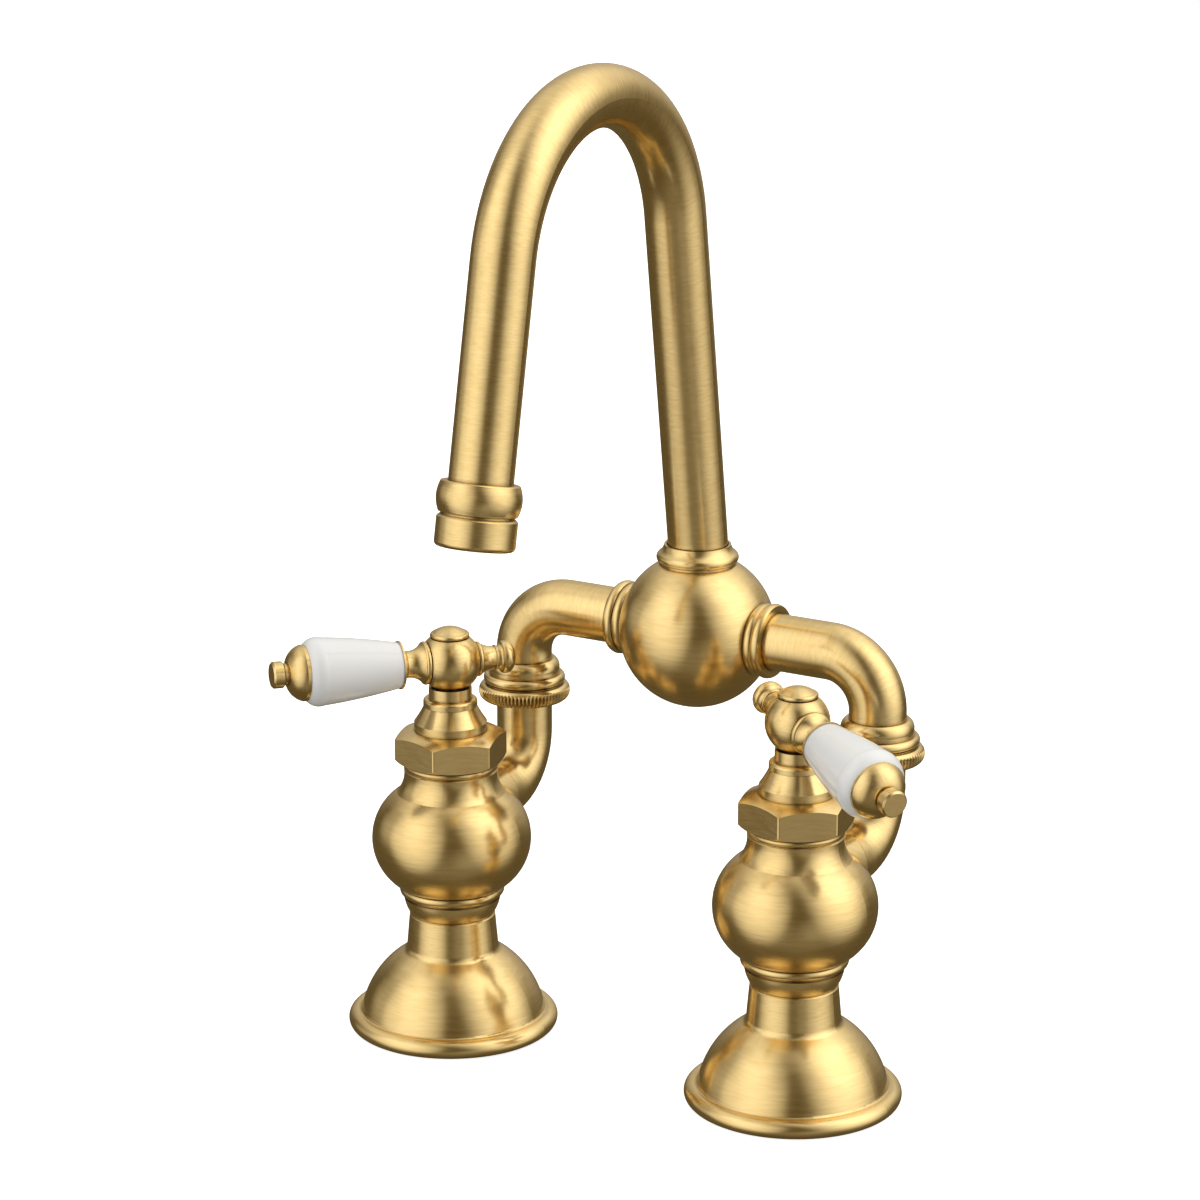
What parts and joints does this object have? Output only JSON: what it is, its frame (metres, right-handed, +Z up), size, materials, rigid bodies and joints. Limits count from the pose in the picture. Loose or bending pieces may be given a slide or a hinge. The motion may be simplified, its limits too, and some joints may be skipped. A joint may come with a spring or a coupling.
{
  "type": "bridge bathroom faucet",
  "caption": "Bridge faucet: bell bases and bulb valves carry a tubular bridge with a turning gooseneck spout, cross-lever handles with porcelain grips.",
  "frame": {"origin": "on the deck plane, midway between the two inlet axes", "axes": "+X to the user's right along the line of the inlets, -Y towards the user and the basin, +Z up out of the deck"},
  "size_m": [0.2032, 0.1572, 0.2999],
  "materials": {
    "satin_brass": "satin, finely brushed round each turned piece",
    "raw_brass": "machined",
    "white_porcelain": "glossy glaze",
    "disc_ceramic": "lapped",
    "black_rubber": "matte",
    "white_plastic": "moulded",
    "screw_steel": "plain"
  },
  "bodies": {
    "bridge": {"ball_body": "satin_brass", "spout_collar": "satin_brass", "union_nut_left": "satin_brass", "union_washer_left": "black_rubber", "union_collar_left": "satin_brass", "bridge_elbow_left": "satin_brass", "ball_side_collar_left": "satin_brass", "union_nut_right": "satin_brass", "union_washer_right": "black_rubber", "union_collar_right": "satin_brass", "bridge_elbow_right": "satin_brass", "ball_side_collar_right": "satin_brass"},
    "spout": {"spout_tube": "satin_brass", "spout_orings": "black_rubber", "spout_retaining_ring": "screw_steel", "aerator_collar": "satin_brass", "aerator_housing": "satin_brass", "aerator_insert": "white_plastic", "aerator_washer": "black_rubber"},
    "left_leg": {"base_bell_left": "satin_brass", "deck_gasket_left": "black_rubber", "valve_body_left": "satin_brass", "tail_pipe_left": "satin_brass", "bonnet_ring_left": "satin_brass", "hex_bonnet_nut_left": "satin_brass", "bonnet_sleeve_left": "satin_brass", "cartridge_body_left": "raw_brass", "cartridge_seal_left": "black_rubber", "ceramic_disc_fixed_left": "disc_ceramic"},
    "left_handle": {"cartridge_spindle_left": "raw_brass", "ceramic_disc_moving_left": "disc_ceramic", "handle_hub_left": "satin_brass", "handle_screw_left": "screw_steel", "index_button_left": "satin_brass", "lever_ferrule_left": "satin_brass", "porcelain_lever_left": "white_porcelain", "lever_end_cap_left": "satin_brass", "lever_rod_left": "screw_steel", "rear_finial_left": "satin_brass"},
    "right_leg": {"base_bell_right": "satin_brass", "deck_gasket_right": "black_rubber", "valve_body_right": "satin_brass", "tail_pipe_right": "satin_brass", "bonnet_ring_right": "satin_brass", "hex_bonnet_nut_right": "satin_brass", "bonnet_sleeve_right": "satin_brass", "cartridge_body_right": "raw_brass", "cartridge_seal_right": "black_rubber", "ceramic_disc_fixed_right": "disc_ceramic"},
    "right_handle": {"cartridge_spindle_right": "raw_brass", "ceramic_disc_moving_right": "disc_ceramic", "handle_hub_right": "satin_brass", "handle_screw_right": "screw_steel", "index_button_right": "satin_brass", "lever_ferrule_right": "satin_brass", "porcelain_lever_right": "white_porcelain", "lever_end_cap_right": "satin_brass", "lever_rod_right": "screw_steel", "rear_finial_right": "satin_brass"}
  },
  "joints": [
    {"name": "spout_turn", "type": "hinge", "parent": "bridge", "child": "spout", "pos_m": [0, 0.04544, 0.142], "axis": [0, 0, 1], "continuous": true},
    {"name": "left_leg_swing", "type": "hinge", "parent": "bridge", "child": "left_leg", "pos_m": [-0.061, 0.04544, 0.094], "axis": [0, 0, 1], "range_deg": [-60, 20]},
    {"name": "left_handle_turn", "type": "hinge", "parent": "left_leg", "child": "left_handle", "pos_m": [-0.0587, 0, 0.1152], "axis": [0, 0, 1], "range_deg": [0, 90]},
    {"name": "right_leg_swing", "type": "hinge", "parent": "bridge", "child": "right_leg", "pos_m": [0.061, 0.04544, 0.094], "axis": [0, 0, 1], "range_deg": [-20, 60]},
    {"name": "right_handle_turn", "type": "hinge", "parent": "right_leg", "child": "right_handle", "pos_m": [0.0587, 0, 0.1152], "axis": [0, 0, 1], "range_deg": [-90, 0]}
  ]
}
